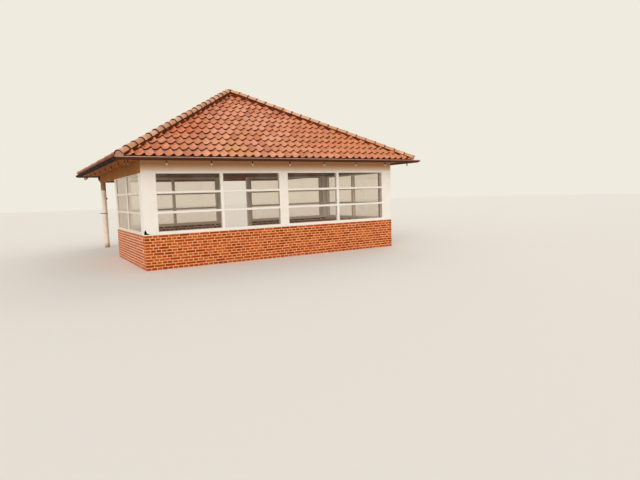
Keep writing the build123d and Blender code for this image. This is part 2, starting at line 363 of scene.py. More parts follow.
# the frames take painted shade on the left side
frameLook = dict(casingLook, roughness=0.38, paint=srgb(249, 244, 235), dirt=0.08, sideDirt=0.3,
                 inside=srgb(250, 232, 210))
timberLook = {"roughness": 0.8, "specular": 0.1, "grainScale": (3.0, 3.0, 60.0), "light": srgb(180, 124, 66),
              "dark": srgb(138, 88, 38), "faded": srgb(188, 138, 80), "inside": srgb(92, 54, 30)}
boardLook = dict(timberLook, grainScale=(4.0, 30.0, 30.0), light=srgb(194, 116, 50), dark=srgb(144, 82, 30),
                 boardWidth=0.094, ring=False, joint=srgb(52, 26, 12))
# the lip's lighter colour is a painted highlight; the darker body colour below it is painted shade
gutterLook = {"roughness": 0.8, "specular": 0.08, "lip": 0.013, "bright": srgb(204, 166, 152),
              "dull": srgb(164, 126, 108), "under": srgb(88, 54, 34), "shaded": srgb(28, 12, 4)}
columnLook = {"roughness": 0.45, "specular": 0.4, "wobble": 0.08, "rustShare": 0.7, "footTop": 0.14,
              "paint": srgb(242, 226, 206), "worn": srgb(218, 192, 166), "rust": srgb(142, 80, 42),
              "cap": srgb(158, 116, 80), "capStart": columnHigh.z - 0.24}
glassLook = {"roughness": 0.03, "specular": 0.5, "faceOn": 0.02, "falloff": 4.5, "dust": 0.05,
             "through": srgb(247, 244, 240), "reflected": srgb(240, 232, 222)}

clay = clayFinish("roofClay", clayLook)
hipClay = clayFinish("hipClay", hipLook)
brick = brickFinish(brickLook)
mortar = mortarFinish("wallMortar", srgb(250, 188, 132), srgb(236, 162, 104))
sideMortar = mortarFinish("sideMortar", srgb(255, 216, 186), srgb(242, 196, 162))
# the hip bed's dark mortar is partly painted shade at the foot of the hip tiles
hipMortar = mortarFinish("hipMortar", srgb(112, 54, 20), srgb(60, 24, 6))
plugMortar = mortarFinish("plugMortar", srgb(218, 164, 146), srgb(180, 126, 110))
casing = paintFinish("casingPaint", casingLook)
framePaint = paintFinish("framePaint", frameLook)
timber = timberFinish("brownTimber", timberLook)
boards = timberFinish("brownBoards", boardLook)
soffitBoards = timberFinish("soffitBoards", dict(boardLook, ring=True))
fasciaPaint = plainFinish("fasciaPaint", srgb(78, 54, 38), srgb(52, 34, 24), 0.6)
zinc = gutterFinish(gutterLook)
columnPaint = columnFinish(columnLook)
blackPipe = plainFinish("blackPipe", srgb(34, 28, 26), srgb(20, 17, 16), 0.45)
# on the left side the sockets and globes take a painted shade tint
socketBlack = plainFinish("socketBlack", srgb(38, 30, 26), srgb(24, 19, 17), 0.5, dirty=srgb(86, 52, 30))
globeWhite = plainFinish("globeWhite", srgb(232, 216, 190), srgb(214, 192, 162), 0.3,
                         dirty=srgb(142, 104, 74))
concrete = plainFinish("floorConcrete", srgb(150, 138, 124), srgb(120, 108, 96), 0.9, 5.0, 0.2)
underRoof = plainFinish("underRoof", srgb(52, 34, 24), srgb(36, 24, 18), 0.9)
chipDark = plainFinish("chipDark", srgb(14, 10, 8), srgb(6, 5, 4), 0.95, specular=0.05)
glass = glassFinish(glassLook)
print("finishes ready")


# Mesh helpers
def fromMesh(name, mesh):
    piece = bpy.data.objects.new(name, mesh)
    scene.collection.objects.link(piece)
    return piece


def toMesh(name, shape, outward=False):
    if outward:
        shape.normal_update()
        bmesh.ops.recalc_face_normals(shape, faces=shape.faces)
    mesh = bpy.data.meshes.new(name)
    shape.to_mesh(mesh)
    shape.free()
    return mesh


def fromBmesh(name, shape, outward=True):
    return fromMesh(name, toMesh(name, shape, outward))


def bevelledBox(shape, low, high, bevel=0.0):
    low, high = Vector(low), Vector(high)
    made = bmesh.ops.create_cube(shape, size=1.0)
    for vertex in made["verts"]:
        vertex.co = Vector(low[i] + (vertex.co[i] + 0.5) * (high[i] - low[i]) for i in range(3))
    if bevel:
        edges = list({edge for vertex in made["verts"] for edge in vertex.link_edges})
        bmesh.ops.bevel(shape, geom=edges, offset=bevel, segments=1, affect="EDGES")


def skin(shape, loops, wrap=False, closed=True):  # quads between loops of points, with an end on each side
    loops = [[shape.verts.new(point) for point in loop] for loop in loops]
    count = len(loops[0])
    for first, second in zip(loops, loops[1:] + loops[:1] * wrap):
        for k in range(count if closed else count - 1):
            following = (k + 1) % count
            shape.faces.new([first[k], first[following], second[following], second[k]])
    if closed and not wrap:
        shape.faces.new(loops[0][::-1])
        shape.faces.new(loops[-1])
    return loops


def ringOf(steps, turn=math.tau):
    count = steps if turn == math.tau else steps + 1
    return [(math.cos(turn * n / steps), math.sin(turn * n / steps)) for n in range(count)]


def turnedProfile(shape, profile, steps, middle=(0, 0)):
    loops = skin(shape, [[(middle[0] + r * u, middle[1] + r * v, z) for r, z in profile]
                         for u, v in ringOf(steps)], wrap=True, closed=False)
    shape.faces.new([loop[-1] for loop in loops])
    shape.faces.new([loop[0] for loop in loops][::-1])


def collar(shape, middle, radius, band, level, half, steps, taper=0.0):  # band: how far in and how far out
    inner, outer = radius - band[0], radius + band[1]
    turnedProfile(shape, [(inner, level - half), (outer, level - half), (outer, level + half - taper),
                          (inner, level + half)], steps, middle)


def dress(piece, material, slot, *nodes):
    piece.data.materials.clear()
    piece.data.materials.append(material)
    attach(piece, "root")
    if nodes:
        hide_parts(*nodes)
    return piece


def dressNode(node, material):
    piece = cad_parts[node]
    piece.data.materials.clear()
    piece.data.materials.append(material)


def baked(piece):
    depsgraph = bpy.context.evaluated_depsgraph_get()
    mesh = bpy.data.meshes.new_from_object(
        piece.evaluated_get(depsgraph), preserve_all_data_layers=True, depsgraph=depsgraph)
    piece.modifiers.clear()
    piece.data = mesh
    return piece


def creased(piece, angle=35):
    piece.data.shade_smooth()
    piece.data.set_sharp_from_angle(angle=math.radians(angle))
    return piece


def mergedCopy(mesh, distance=1e-5):
    shape = bmesh.new()
    shape.from_mesh(mesh)
    bmesh.ops.remove_doubles(shape, verts=shape.verts, dist=distance)
    return shape


def eased(node, bevel):
    shape = mergedCopy(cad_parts[node].data)
    bmesh.ops.dissolve_limit(shape, angle_limit=0.01, verts=shape.verts, edges=shape.edges)
    piece = fromBmesh(camelName(node), shape, outward=False)
    modifier = piece.modifiers.new("ease", "BEVEL")
    modifier.width = bevel
    modifier.segments = 2
    modifier.limit_method = "ANGLE"
    return baked(piece)


def camelName(node):
    first, *rest = node.split("_")
    return first + "".join(word.capitalize() for word in rest)


def scrap(*pieces):
    for piece in pieces:
        bpy.data.objects.remove(piece)


def joined(name, pieces):
    shape = bmesh.new()
    for piece in pieces:
        shape.from_mesh(piece.data)
    scrap(*pieces)
    return fromBmesh(name, shape, outward=False)


def paintValue(mesh, name, values, kind="FLOAT"):
    mesh.attributes.new(name, kind, "POINT").data.foreach_set("value", values)


# Geometry Nodes helpers
def startTree(name, inputs):
    tree = bpy.data.node_groups.new(name, "GeometryNodeTree")
    for way in ("INPUT", "OUTPUT"):
        tree.interface.new_socket("Geometry", in_out=way, socket_type="NodeSocketGeometry")
    for kind, labels in inputs.items():
        for label in labels.split(", "):
            tree.interface.new_socket(label, in_out="INPUT", socket_type="NodeSocket" + kind)
    start = put(tree, "NodeGroupInput")
    return tree, lambda label: pick(start.outputs, label)


def endTree(tree, given, instances):
    realized = take(tree, "GeometryNodeRealizeInstances", {"Geometry": instances})
    finished = take(tree, "GeometryNodeSetMaterial", {"Geometry": realized, "Material": given("Material")})
    put(tree, "NodeGroupOutput", {"Geometry": finished})
    return tree


def randomly(tree, given, low, high, salt, kind):
    seed = take(tree, "FunctionNodeIntegerMath", {0: given("Seed"), 1: salt}, operation="ADD")
    inputs = {"Min": low, "Max": high, "Seed": seed}
    return take(tree, "FunctionNodeRandomValue", inputs, "Value", data_type=kind)


def eitherWay(tree, given, name, salt):
    lowest = take(tree, "ShaderNodeVectorMath", {0: given(name), "Scale": -1.0}, operation="SCALE")
    return randomly(tree, given, lowest, given(name), salt, "FLOAT_VECTOR")


def setOut(tree, given, points, instance):  # each piece a little turned, shifted and toned
    laid = take(tree, "GeometryNodeInstanceOnPoints", dict(
        instance, Points=points, Rotation=eitherWay(tree, given, "Turn", 1)))
    shifted = take(tree, "GeometryNodeTranslateInstances", {
        "Instances": laid, "Translation": eitherWay(tree, given, "Wander", 2)})
    toned = take(tree, "GeometryNodeStoreNamedAttribute", {
        "Geometry": shifted, "Name": "tone", "Value": randomly(tree, given, 0.0, 1.0, 3, "FLOAT")},
        data_type="FLOAT", domain="INSTANCE")
    return endTree(tree, given, toned)


def givenPiece(tree, given):
    return {"Instance": take(tree, "GeometryNodeObjectInfo", {"Object": given("Piece")}, "Geometry")}


def lineTree():
    tree, given = startTree("setInLine", {
        "Int": "Count, Seed", "Vector": "Step, Wander, Turn", "Object": "Piece", "Material": "Material"})
    line = take(tree, "GeometryNodeMeshLine", {"Count": given("Count"), "Offset": given("Step")})
    return setOut(tree, given, line, givenPiece(tree, given))


def grow(name, tree, values, carrier=None, **more):  # the input Half Width takes the value halfWidth
    values = dict(values, **more)
    host = fromMesh(name, carrier or bpy.data.meshes.new(name))
    modifier = host.modifiers.new("grow", "NODES")
    modifier.node_group = tree
    for item in tree.interface.items_tree:
        if item.in_out == "INPUT" and item.name != "Geometry":
            modifier[item.identifier] = values[item.name[0].lower() + item.name[1:].replace(" ", "")]
    bpy.context.view_layer.update()
    return baked(host)


# Roof tiles
tileValues = {
    "pitch": 0.2073, "gauge": 0.339, "thickness": 0.014, "panWidth": 0.146, "panRise": 0.028, "crest": 0.057,
    "crestPlace": 0.184, "edgePlace": 0.224, "lift": 0.03, "seed": 11,
    "wander": (0.004, 0.004, 0.002), "turn": (0.007, 0.0084, 0.014), "flankShade": 0.58, "flankStart": 0.012,
    "hipGap": 0.035, "panSteps": 7, "rollSteps": 8, "nose": 0.003, "shift": -0.098, "spareColumns": 2,
    "spareTiles": 1.6, "panPower": 2.2, "edgeFall": 0.5,
    # stations: a run up the tile and its painted shade, dark where the next course laps over; flankShade
    # paints shade on the falling flank of the roll
    "stations": [(0.0, 0.3), (0.012, 0.0), (0.17, 0.0), (0.295, 0.1), (0.333, 0.85), (0.4, 1.0)],
}


def tileProfile(place):
    pan, rise, crest, top, edge = several(tileValues, "panWidth panRise crest crestPlace edgePlace")
    if place < pan:
        return rise * abs(2 * place / pan - 1) ** tileValues["panPower"]
    if place < top:
        return rise + (crest - rise) * math.sin(math.pi / 2 * (place - pan) / (top - pan))
    return crest * (1 - tileValues["edgeFall"] * ((place - top) / (edge - top)) ** 2)


def tileTemplate():
    values = tileValues
    shape = bmesh.new()
    pan, edge = values["panWidth"], values["edgePlace"]
    places = [pan * i / values["panSteps"] for i in range(values["panSteps"] + 1)]
    places += [pan + (edge - pan) * (i + 1) / values["rollSteps"] for i in range(values["rollSteps"])]
    flank = values["crestPlace"] + values["flankStart"]
    length = values["stations"][-1][0]
    # painted shade per row: the nose row and the underside are dark, which shades the tile's end face
    rows = [(0.0, values["nose"], 0.95)] + [(run, 0.0, shade) for run, shade in values["stations"]]
    rows += [(length, values["thickness"], 1.0), (0.0, values["thickness"], 1.0)]
    loops, shades = [], []
    for run, drop, shade in rows:
        level = -values["crest"] - drop - values["lift"] * run / values["gauge"]
        loops.append([(place, run, tileProfile(place) + level) for place in places])
        shades += [max(shade, values["flankShade"] * (place > flank)) for place in places]
    loops = skin(shape, loops, wrap=True, closed=False)
    shape.faces.new([loop[0] for loop in loops])
    shape.faces.new([loop[-1] for loop in loops][::-1])
    piece = fromBmesh("tileTemplate", shape)
    paintValue(piece.data, "shade", shades)
    return piece


def tileTree():
    tree, given = startTree("layTiles", {
        "Int": "Columns, Rows, Seed", "Float": "Pitch, Gauge, Half Width, Slope Length, Margin",
        "Vector": "Wander, Turn", "Object": "Piece", "Material": "Material"})
    width, depth = (times(tree, sums(tree, "SUBTRACT", given(count), 1.0), given(step))
                    for count, step in (("Columns", "Pitch"), ("Rows", "Gauge")))
    grid = take(tree, "GeometryNodeMeshGrid", {
        "Size X": width, "Size Y": depth, "Vertices X": given("Columns"), "Vertices Y": given("Rows")})
    raised = take(tree, "ShaderNodeCombineXYZ", {"Y": times(tree, depth, 0.5)})
    moved = take(tree, "GeometryNodeTransform", {"Geometry": grid, "Translation": raised})
    place = take(tree, "GeometryNodeInputPosition")
    up = sums(tree, "DIVIDE", axis("Y")(tree, place), given("Slope Length"))
    left = times(tree, given("Half Width"), sums(tree, "SUBTRACT", 1.0, up))
    across = sums(tree, "ABSOLUTE", axis("X")(tree, place))
    beyond = sums(tree, "GREATER_THAN", across, plus(tree, left, given("Margin")))
    kept = take(tree, "GeometryNodeDeleteGeometry", {"Geometry": moved, "Selection": beyond})
    return setOut(tree, given, kept, givenPiece(tree, given))


def cutAt(shape, point, normal):
    geometry = list(shape.verts) + list(shape.edges) + list(shape.faces)
    cut = bmesh.ops.bisect_plane(
        shape, geom=geometry, dist=1e-6, plane_co=point, plane_no=normal, clear_outer=True)
    edges = [e for e in cut["geom_cut"] if isinstance(e, bmesh.types.BMEdge)]
    bmesh.ops.holes_fill(shape, edges=edges, sides=0)


def layTiles(tree, tile, quarter):
    values = tileValues
    piece = grow(sides[quarter] + "Tiles", tree, values, seed=values["seed"] + quarter, piece=tile,
                 material=clay, halfWidth=tileSide, slopeLength=slopeLength,
                 margin=values["pitch"] * values["spareTiles"],
                 columns=round(2 * tileSide / values["pitch"]) + values["spareColumns"],
                 rows=math.ceil(slopeLength / values["gauge"]))
    start = Matrix.Translation((values["shift"] - values["pitch"] / 2, -tileSide, eaveLevel))
    piece.data.transform(start @ Matrix.Rotation(roofPitch, 4, "X"))
    shape = bmesh.new()
    shape.from_mesh(piece.data)
    for slant in (1, -1):
        cutAt(shape, (0, -values["hipGap"], 0), (slant, 1, 0))
    bmesh.ops.triangulate(shape, faces=[f for f in shape.faces if len(f.verts) > 4])
    shape.transform(quarterTurns[quarter])
    shape.to_mesh(piece.data)
    shape.free()
    return dress(creased(piece), clay, "roof_tiles", sides[quarter] + "_roof_slope")


tile = tileTemplate()
tileNodes = tileTree()
for quarter in range(4):
    layTiles(tileNodes, tile, quarter)
scrap(tile)
print("roof tiles laid")

# Dark boarding under the tiles, which closes the roof; its dark colour is partly painted shade, seen in the
# gaps between tiles
deckValues = {"drop": 0.108, "thickness": 0.012}


def roofDeck():
    shape = bmesh.new()
    rings = []
    for drop in (deckValues["drop"], deckValues["drop"] + deckValues["thickness"]):
        level = apexLevel - fasciaSide * math.tan(roofPitch) - drop
        corners = [shape.verts.new((x * fasciaSide, y * fasciaSide, level)) for x, y in planCorners]
        rings.append((corners, shape.verts.new((0, 0, apexLevel - drop))))
    (upper, upperTop), (lower, lowerTop) = rings
    for n in range(4):
        following = (n + 1) % 4
        shape.faces.new([upper[n], upper[following], upperTop])
        shape.faces.new([lower[following], lower[n], lowerTop])
        shape.faces.new([upper[following], upper[n], lower[n], lower[following]])
    return dress(fromBmesh("roofDeck", shape, outward=False), underRoof, "roof_tiles")


roofDeck()

# Hip tiles, front left, front right, rear right and rear left
hipValues = {
    "wideRadius": 0.103, "narrowRadius": 0.085, "thickness": 0.016, "exposure": 0.305, "lap": 0.05,
    "setbacks": [0.028, 0.085, 0.04, 0.028], "sinksFoot": [0.052, 0.074, 0.052, 0.046], "sinkTop": -0.004,
    "halfAngle": 80, "steps": 18, "rim": 0.025, "uncovered": 0.27, "seed": 31,
    "wander": (0.004, 0.004, 0.004), "turn": (0.008, 0.01, 0.02),
    "noseRun": 0.008, "noseRise": 0.004, "rimRise": 0.002, "body": 0.1, "fade": 0.03,
    "plugFrom": 0.014, "plugDepth": 0.03, "plugDrop": 0.045, "plugSteps": 14, "plugBite": 0.002,
}
bedValues = {  # the section's points: a share of the width, a fixed place across and a height
    "width": 0.088, "vary": (-0.006, 0.008), "rough": 0.004, "steps": 60, "start": 0.03, "end": 0.1,
    "seed": 5,
    "section": [(-1, 0.0, -0.09), (-0.95, 0.0, 0.008), (0, -0.05, 0.03), (0, 0.0, 0.045), (0, 0.05, 0.03),
                (0.95, 0.0, 0.008), (1, 0.0, -0.09)],
}
apexValues = {  # the profile's points: a share of the radius and a height over the apex
    "radius": 0.11, "cover": 0.7, "steps": 28, "tone": 0.4,
    "profile": [(0.95, -0.08), (1, -0.04), (0.96, 0.0), (0.84, 0.036), (0.6, 0.068), (0.33, 0.084),
                (0.1, 0.09)],
}


def hipTemplate():
    shape = bmesh.new()
    wide, narrow, rim, body, covered, fade, thickness, steps = several(
        hipValues, "wideRadius narrowRadius rim body uncovered fade thickness steps")
    noseRun, noseRise, rimRise = several(hipValues, "noseRun noseRise rimRise")
    length = hipValues["exposure"] + hipValues["lap"]

    def radiusAt(run):
        return wide + (narrow - wide) * run / length

    # the third value of each point is painted shade: dark on the rim's face and where the next tile laps
    # over, which draws the dark arcs
    outline = [(0.0, wide, 1.0), (noseRun, wide + noseRise, 0.3), (rim, radiusAt(rim) + rimRise, 0.0),
               (body, radiusAt(body), 0.0), (covered, radiusAt(covered), 0.1),
               (covered + fade, radiusAt(covered + fade), 1.0), (length, narrow, 1.0),
               (length, narrow - thickness, 1.0), (0.0, wide - thickness, 1.0)]
    half = math.radians(hipValues["halfAngle"])
    angles = [half * (2 * n / steps - 1) for n in range(steps + 1)]
    skin(shape, [[(radius * math.sin(angle), run, radius * math.cos(angle))
                  for run, radius, shade in outline] for angle in angles])
    piece = fromBmesh("hipTemplate", shape)
    paintValue(piece.data, "shade", [shade for angle in angles for run, radius, shade in outline])
    return piece


def hipFrame(quarter):
    setback, sinkFoot = hipValues["setbacks"][quarter], hipValues["sinksFoot"][quarter]
    rise = tileSide * math.tan(roofPitch) + sinkFoot - hipValues["sinkTop"]
    along = Vector((1, 1, rise / tileSide)).normalized()
    sideways = Vector((1, -1, 0)).normalized()
    upward = sideways.cross(along)
    matrix = Matrix((sideways, along, upward)).transposed().to_4x4()
    matrix.translation = Vector((-tileSide, -tileSide, eaveLevel - sinkFoot)) + along * setback
    return quarterTurns[quarter] @ matrix, math.hypot(tileSide, tileSide, rise) - setback


def layHips(tree):
    values = hipValues
    hip = hipTemplate()
    made = []
    for quarter in range(4):
        place, length = hipFrame(quarter)
        usable = length - apexValues["radius"] * apexValues["cover"]
        count = round(usable / values["exposure"])
        made.append(grow("hip" + str(quarter), tree, values, count=count, step=(0, usable / count, 0),
                         seed=values["seed"] + quarter, piece=hip, material=hipClay))
        made[-1].data.transform(place)
    scrap(hip)
    return dress(creased(joined("hipTiles", made)), hipClay, "hip_clay", "hip_tiles")


def hipPlugs():
    values = hipValues
    radius = values["wideRadius"] - values["thickness"] + values["plugBite"]
    arch = [(-radius * u, radius * v) for u, v in ringOf(values["plugSteps"], math.pi)]
    outline = [(-radius, -values["plugDrop"]), *arch, (radius, -values["plugDrop"])]
    shape = bmesh.new()
    for quarter in range(4):
        place = hipFrame(quarter)[0]
        skin(shape, [[place @ Vector((x, run, z)) for x, z in outline]
                     for run in (values["plugFrom"], values["plugFrom"] + values["plugDepth"])])
    return dress(fromBmesh("hipPlugs", shape), plugMortar, "hip_clay")


def hipBed():
    shape = bmesh.new()
    width, steps, start, end, rough, seed = several(bedValues, "width steps start end rough seed")
    picker = random.Random(seed)
    for quarter in range(4):
        place, length = hipFrame(quarter)
        loops = []
        for n in range(steps + 1):
            run = start + (length - end) * n / steps
            wide = width + picker.uniform(*bedValues["vary"])
            loops.append([place @ Vector((wide * share + out, run, z + picker.uniform(-rough, rough)))
                          for share, out, z in bedValues["section"]])
        skin(shape, loops)
    return dress(fromBmesh("hipMortarBed", shape), hipMortar, "hip_clay")


def apexTile():
    shape = bmesh.new()
    radius, steps, tone, profile = several(apexValues, "radius steps tone profile")
    turnedProfile(shape, [(radius * share, apexLevel + level) for share, level in profile], steps)
    piece = fromBmesh("apexTile", shape)
    paintValue(piece.data, "tone", [tone] * len(piece.data.vertices))
    return dress(creased(piece, 50), hipClay, "hip_clay", "apex_cap")


lineNodes = lineTree()
layHips(lineNodes)
hipPlugs()
hipBed()
apexTile()
print("hips laid")

# Brickwork: courses of headers and of stretchers in turn, with three-quarter bats at the corners
brickValues = {
    "header": 0.104, "stretcher": 0.224, "bat": 0.164, "joint": 0.016, "bed": 0.012, "course": 0.2 / 3,
    "ease": 0.003, "recess": 0.003, "seed": 71, "slack": 1e-4, "cornerSlack": 0.01,
    "wander": (0.00108, 0.0018, 0.0009), "turn": (0.0035, 0.0042, 0.007),
}
brickKinds = [("header", "stretcher"), ("stretcher", "header"), ("bat", "header"), ("header", "bat"),
              ("header", "header"), ("stretcher", "stretcher")]


def brickTemplates():
    collection = bpy.data.collections.new("brickKinds")
    height = brickValues["course"] - brickValues["joint"]
    for n, (wide, deep) in enumerate(brickKinds):
        shape = bmesh.new()
        half = Vector((brickValues[wide] / 2, brickValues[deep] / 2, height / 2))
        bevelledBox(shape, -half, half, brickValues["ease"])
        name = "brick" + str(n)
        collection.objects.link(bpy.data.objects.new(name, toMesh(name, shape)))
    return collection


def courseOf(length, stretchers, offset):
    header, stretcher, bat, joint, slack = several(brickValues, "header stretcher bat joint slack")
    if not stretchers:
        return [("header", n * (header + joint)) for n in range(round((length + joint) / (header + joint)))]
    run = [("bat", 0.0)]
    place, end = bat + joint, length - bat
    if offset:
        run.append(("header", place))
        place += header + joint
    while place + stretcher + joint < end + slack:
        run.append(("stretcher", place))
        place += stretcher + joint
    if end - place > header - slack:
        run.append(("header", place))
    return run + [("bat", end)]


def wallBricks(length, courses, phase):
    spots = []
    header, stretcher = brickValues["header"], brickValues["stretcher"]
    for course in range(courses):
        level = (course + 0.5) * brickValues["course"] - brickValues["bed"] / 2
        stretchers = (course + phase) % 2 == 0
        for kind, start in courseOf(length, stretchers, (course // 2) % 2 == 1):
            along = start + brickValues[kind] / 2
            if stretchers:
                for near in (header / 2, wallDepth - header / 2):
                    spots.append((along, near, level, (kind, "header")))
            else:
                spots.append((along, stretcher / 2, level, ("header", "stretcher")))
    return spots


def brickTree():
    tree, given = startTree("layBricks", {
        "Vector": "Wander, Turn", "Int": "Seed", "Collection": "Bricks", "Material": "Material"})
    kinds = take(tree, "GeometryNodeCollectionInfo", {
        "Collection": given("Bricks"), "Separate Children": True, "Reset Children": True})
    which = take(tree, "GeometryNodeInputNamedAttribute", {"Name": "kind"}, data_type="INT")
    points = take(tree, "GeometryNodeMeshToPoints", {"Mesh": given("Geometry")})
    return setOut(tree, given, points, {"Instance": kinds, "Pick Instance": True, "Instance Index": which})


def brickWall(name, node, spots, place, tree, kinds, seed):
    values = brickValues
    carrier = bpy.data.meshes.new(name)
    carrier.from_pydata([spot[:3] for spot in spots], [], [])
    paintValue(carrier, "kind", [brickKinds.index(spot[3]) for spot in spots], "INT")
    piece = grow(name, tree, values, carrier, seed=values["seed"] + seed, bricks=kinds, material=brick)
    piece.data.transform(place)
    if place.determinant() < 0:
        piece.data.flip_normals()
    dress(piece, brick, "brick", node)
    low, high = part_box(node)
    inset = Vector((values["recess"], values["recess"], 0.0))
    shape = bmesh.new()
    bevelledBox(shape, low + inset, high - inset)
    bedding = mortar if "front" in node else sideMortar
    return dress(fromBmesh(name + "Mortar", shape, outward=False), bedding, "brick")


def layBricks():
    tree = brickTree()
    kinds = brickTemplates()
    courses = round(plinthTop / brickValues["course"])
    front = wallBricks(2 * halfPlan, courses, 1)
    corner = wallDepth + brickValues["cornerSlack"]
    side = [spot for spot in wallBricks(roomBack + halfPlan, courses, 0) if spot[0] > corner]
    back = wallBricks(halfPlan - wallDepth - doorSide, courses, 1)
    moved = Matrix.Translation
    leftPlace = moved((-halfPlan, -halfPlan, 0)) @ quarterTurns[1] @ Matrix.Scale(-1, 4, (0, 1, 0))
    walls = [("front", front, moved((-halfPlan, -halfPlan, 0))), ("left", side, leftPlace),
             ("right", side, moved((halfPlan, -halfPlan, 0)) @ quarterTurns[1]),
             ("back_left", back, moved((-halfPlan + wallDepth, roomBack - wallDepth, 0))),
             ("back_right", back, moved((doorSide, roomBack - wallDepth, 0)))]
    for seed, (wall, spots, place) in enumerate(walls):
        brickWall(camelName(wall) + "Bricks", wall + "_plinth", spots, place, tree, kinds, seed)


layBricks()
print("bricks laid")

# Window frames with glazing beads; each wall has its own way along and its way in
windowValues = {
    "rows": 3, "columns": 2, "stile": 0.055, "mullion": 0.065, "transom": 0.045, "bottomRail": 0.072,
    "setback": 0.025, "pane": 0.006, "glassTop": 2.177, "ease": 0.004, "transomSetback": 0.004,
    "beadWidth": 0.011, "beadDepth": 0.012,
}
acrossWay, deepWay = Vector((1, 0, 0)), Vector((0, 1, 0))
windows = {
    "front_left": (acrossWay, deepWay), "front_right": (acrossWay, deepWay), "left": (deepWay, acrossWay),
    "right": (deepWay, -acrossWay), "back_left": (acrossWay, -deepWay), "back_right": (acrossWay, -deepWay)}


def spans(low, high, count, bar):
    clear = (high - low - bar * (count - 1)) / count
    return [(low + n * (clear + bar), low + n * (clear + bar) + clear) for n in range(count)]


def windowPlace(node, along, inward):
    low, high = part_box(node)
    outer = low if inward.x + inward.y > 0 else high
    matrix = Matrix((along, inward, Vector((0, 0, 1)))).transposed().to_4x4()
    matrix.translation = Vector((outer.x if inward.x else 0, outer.y if inward.y else 0, 0))
    return matrix, low.dot(along), high.dot(along), low.z, high.z, abs((high - low).dot(inward))


def windowFrame(across, upward, start, end, bottom, top, depth):
    shape = bmesh.new()
    left, right, sill, head = across[0][0], across[-1][1], upward[0][0], upward[-1][1]
    setback = windowValues["transomSetback"]
    bars = [((start, 0, bottom), (left, depth, top)), ((right, 0, bottom), (end, depth, top)),
            ((left, 0, bottom), (right, depth, sill)), ((left, 0, head), (right, depth, top))]
    for (_, edge), (following, _) in zip(across, across[1:]):
        bars.append(((edge, 0, sill), (following, depth, head)))
    for (_, edge), (following, _) in zip(upward, upward[1:]):
        bars += [((low, setback, edge), (high, depth - setback, following)) for low, high in across]
    for low, high in bars:
        bevelledBox(shape, low, high, windowValues["ease"])
    return shape


def beadRims(across, upward):
    rims = bmesh.new()
    setback, pane, depth = several(windowValues, "setback pane beadDepth")
    for low, high in across:
        for floor, ceiling in upward:
            for deep in (setback - depth / 2, setback + pane + depth / 2):
                corners = [(low, floor), (high, floor), (high, ceiling), (low, ceiling)]
                rims.faces.new([rims.verts.new((x, deep, z)) for x, z in corners])
    return toMesh("rims", rims)


def buildWindow(wall, beads):
    values = windowValues
    node = wall + "_window_frame"
    place, start, end, bottom, top, depth = windowPlace(node, *windows[wall])
    across = spans(start + values["stile"], end - values["stile"], values["columns"], values["mullion"])
    upward = spans(bottom + values["bottomRail"], values["glassTop"], values["rows"], values["transom"])
    shape = windowFrame(across, upward, start, end, bottom, top, depth)
    shape.transform(place)
    dress(fromBmesh(camelName(node), shape), framePaint, "white_frame", node)
    piece = grow(camelName(node) + "Beads", beads, values, beadRims(across, upward), material=framePaint)
    piece.data.transform(place)
    piece.data = toMesh(piece.name, mergedCopy(piece.data, 1e-6), outward=True)
    return dress(piece, framePaint, "white_frame")


def beadTree():
    tree, given = startTree("runBeads", {"Float": "Bead Width, Bead Depth", "Material": "Material"})
    apart = take(tree, "GeometryNodeSplitEdges", {"Mesh": given("Geometry")})
    rims = take(tree, "GeometryNodeMeshToCurve", {"Mesh": apart})
    profile = take(tree, "GeometryNodeCurvePrimitiveQuadrilateral", {
        "Width": given("Bead Width"), "Height": given("Bead Depth")})
    swept = take(tree, "GeometryNodeCurveToMesh", {"Curve": rims, "Profile Curve": profile})
    return endTree(tree, given, swept)


beadNodes = beadTree()
for wall in windows:
    buildWindow(wall, beadNodes)
print("windows built")

# Piers, posts, headers and beams with eased edges
easeValues = {"pier": 0.005, "beam": 0.005}
easedNodes = [
    ("pier", casing, "white_casing", "front_left_pier front_middle_pier front_right_pier back_left_pier "
                                     "back_right_pier door_posts front_header"),
    ("beam", timber, "brown_timber", "left_beam right_beam rear_beam back_header")]
claddingValues = {"drop": 0.036, "thickness": 0.008, "ease": 0.002, "start": 0.02, "behind": 0.001}


def beamCladding():
    values = claddingValues
    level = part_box("left_beam")[0].z - values["drop"]
    shape = bmesh.new()
    for side in (-1, 1):
        near, far = sorted((side * (halfPlan - values["behind"]), side * (halfPlan + values["thickness"])))
        bevelledBox(shape, (near, -halfPlan + values["start"], level), (far, roomBack, soffitLevel),
                    values["ease"])
    return dress(fromBmesh("beamCladding", shape, outward=False), timber, "brown_timber")


for kind, material, slot, nodes in easedNodes:
    for node in nodes.split():
        dress(eased(node, easeValues[kind]), material, slot, node)
beamCladding()

# Nodes that are shown as the frame gives them
for nodes, material in (
        ("front_glass left_glass right_glass back_glass", glass), ("floor_slab", concrete),
        ("fascia_boards", fasciaPaint), ("rain_pipe", blackPipe), ("left_column right_column", columnPaint),
        ("room_ceiling porch_ceiling", boards), ("eaves_soffit", soffitBoards),
        ("front_gutter right_gutter rear_gutter left_gutter", zinc)):
    for node in nodes.split():
        dressNode(node, material)
print("woodwork and metalwork dressed")

# Lamps under the eaves: a globe, its socket and a slack lead up to the soffit
lampValues = {
    "globe": 0.024, "neck": 0.012, "foot": 0.0132, "socket": 0.015, "cap": 0.006, "socketLength": 0.05,
    "shoulder": 0.008, "capDrop": 0.012, "lead": 0.004, "sway": 0.02, "sink": 0.004, "leadSink": 0.003,
    "tip": 0.004, "globeRows": 9, "globeSteps": 16, "socketSteps": 12, "leadSteps": 6, "leadSides": 6,
    "seed": 19,
}


